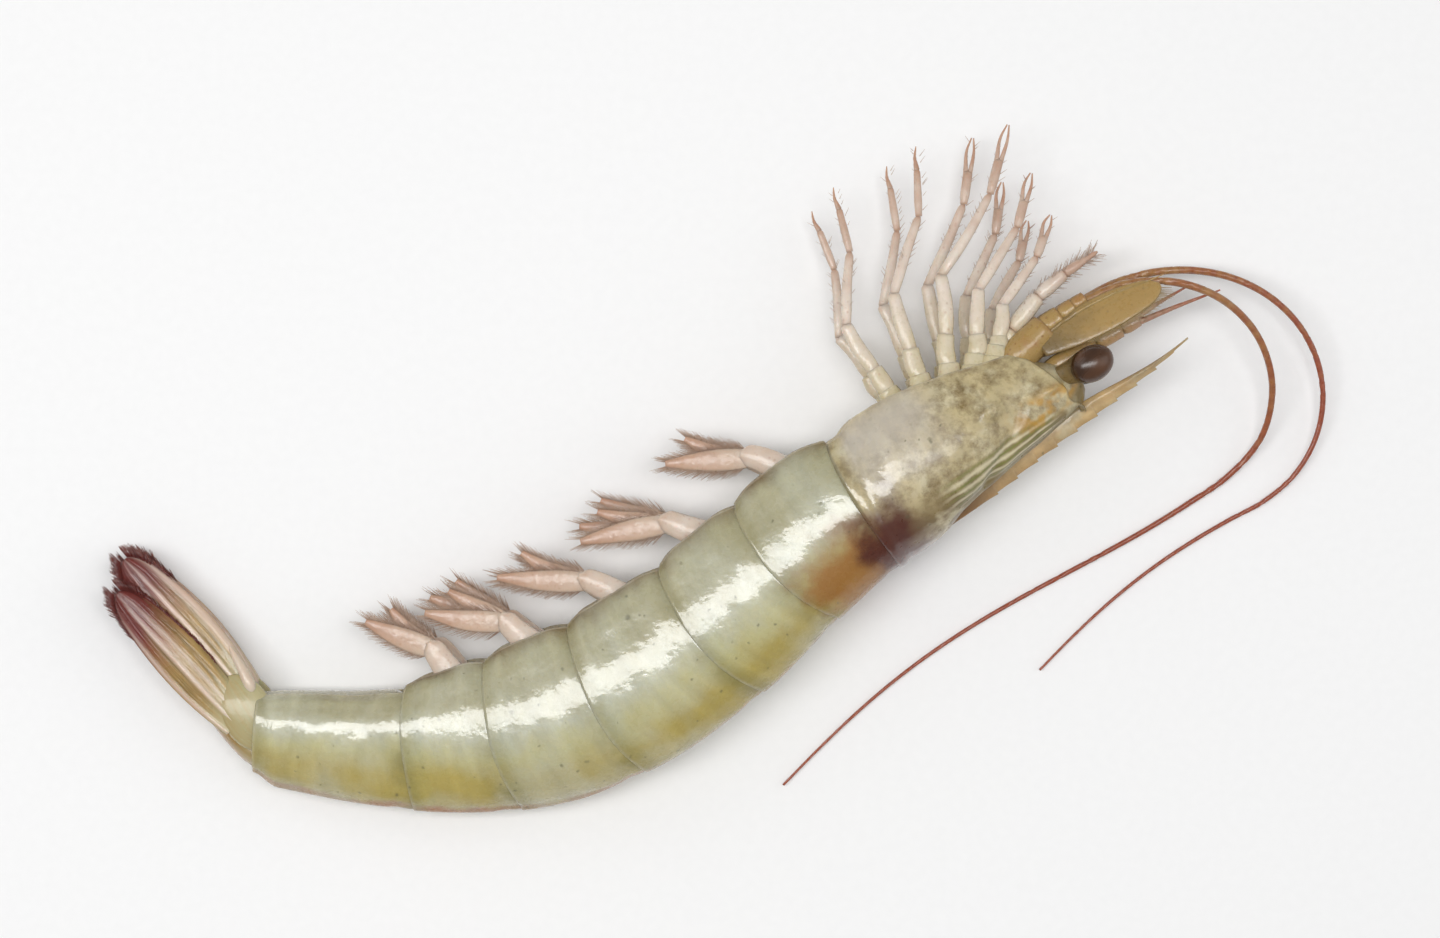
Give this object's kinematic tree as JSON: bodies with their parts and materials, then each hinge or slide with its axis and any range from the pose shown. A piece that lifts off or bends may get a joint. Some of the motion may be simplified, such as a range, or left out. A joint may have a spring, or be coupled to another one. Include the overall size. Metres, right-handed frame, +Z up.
{
  "type": "raw whole shrimp",
  "caption": "Raw head-on shrimp lying on its side, with overlapping shell rings, toothed rostrum, stalked eyes, walking legs, swimmerets, feelers and a folded tail fan.",
  "frame": {"origin": "under the middle of the third ring, on the surface that the shrimp lies on", "axes": "+Z up, through the right flank to the left flank; +X towards the head along the greatest length; +Y to the belly side"},
  "size_m": [0.1429, 0.0805, 0.016],
  "materials": {
    "shell": "wet translucent raw shell, grey green to olive",
    "tail": "wet thin shell, tan with red brown tips",
    "eye": "wet black brown eye",
    "leg": "wet translucent limb, whitish to pink",
    "swimmeret": "wet soft limb, cream to pink",
    "feeler": "thin red brown feeler",
    "antennal_scale": "wet thin golden brown plate"
  },
  "bodies": {
    "root": {"eye_left": "eye", "antennal_scale_left": "antennal_scale", "antennule_left": "feeler", "antenna_left": "feeler", "mouth_leg_left": "leg", "walking_leg_1_left": "leg", "walking_leg_2_left": "leg", "walking_leg_3_left": "leg", "walking_leg_4_left": "leg", "walking_leg_5_left": "leg", "eye_right": "eye", "antennal_scale_right": "antennal_scale", "antennule_right": "feeler", "antenna_right": "feeler", "mouth_leg_right": "leg", "walking_leg_1_right": "leg", "walking_leg_2_right": "leg", "walking_leg_3_right": "leg", "walking_leg_4_right": "leg", "walking_leg_5_right": "leg", "carapace": "shell", "ring_1": "shell", "ring_2": "shell", "ring_3": "shell", "ring_4": "shell", "ring_5": "shell", "ring_6": "shell", "swimmeret_1_left": "swimmeret", "swimmeret_1_right": "swimmeret", "swimmeret_2_left": "swimmeret", "swimmeret_2_right": "swimmeret", "swimmeret_3_left": "swimmeret", "swimmeret_3_right": "swimmeret", "swimmeret_4_left": "swimmeret", "swimmeret_4_right": "swimmeret", "swimmeret_5_left": "swimmeret", "swimmeret_5_right": "swimmeret", "telson": "tail", "tail_blade_inner_left": "tail", "tail_blade_outer_left": "tail", "tail_blade_inner_right": "tail", "tail_blade_outer_right": "tail"}
  },
  "joints": []
}
